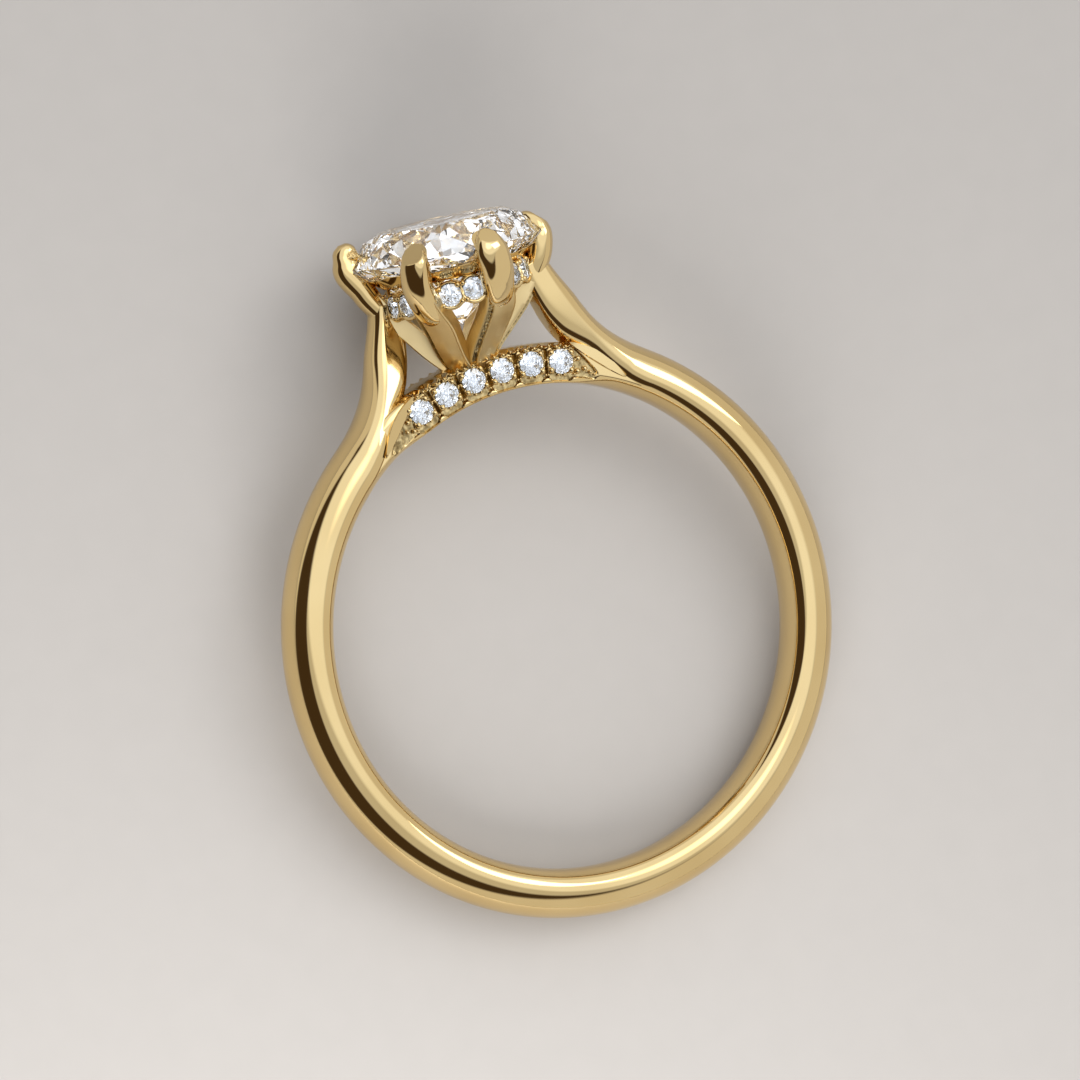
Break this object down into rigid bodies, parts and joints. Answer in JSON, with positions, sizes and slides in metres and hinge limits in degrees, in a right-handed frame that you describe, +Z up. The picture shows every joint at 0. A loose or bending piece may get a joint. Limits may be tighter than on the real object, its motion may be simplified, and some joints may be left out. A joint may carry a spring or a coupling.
{
  "type": "engagement ring",
  "caption": "Yellow gold engagement ring with a round centre stone in claws, a hidden halo under it, cathedral shoulders and a stone-set bridge.",
  "frame": {"origin": "centre of the finger hole", "axes": "+Y from the finger hole towards the head, +Z up from the surface the ring lies on, nearly along the finger hole, +X across the ring"},
  "size_m": [0.0198, 0.0245, 0.0071],
  "materials": {
    "yellow_gold": "high polish, with fine hairline wear",
    "centre_diamond": "faceted and polished, colourless",
    "small_diamond": "faceted and polished, colourless"
  },
  "bodies": {
    "root": {"gold_mount": "yellow_gold", "centre_stone": "centre_diamond", "halo_stone_1": "small_diamond", "halo_stone_2": "small_diamond", "halo_stone_3": "small_diamond", "halo_stone_4": "small_diamond", "halo_stone_5": "small_diamond", "halo_stone_6": "small_diamond", "halo_stone_7": "small_diamond", "halo_stone_8": "small_diamond", "halo_stone_9": "small_diamond", "halo_stone_10": "small_diamond", "halo_stone_11": "small_diamond", "halo_stone_12": "small_diamond", "front_bridge_stone_1": "small_diamond", "front_bridge_stone_2": "small_diamond", "front_bridge_stone_3": "small_diamond", "front_bridge_stone_4": "small_diamond", "front_bridge_stone_5": "small_diamond", "front_bridge_stone_6": "small_diamond", "back_bridge_stone_1": "small_diamond", "back_bridge_stone_2": "small_diamond", "back_bridge_stone_3": "small_diamond", "back_bridge_stone_4": "small_diamond", "back_bridge_stone_5": "small_diamond", "back_bridge_stone_6": "small_diamond"}
  },
  "joints": []
}
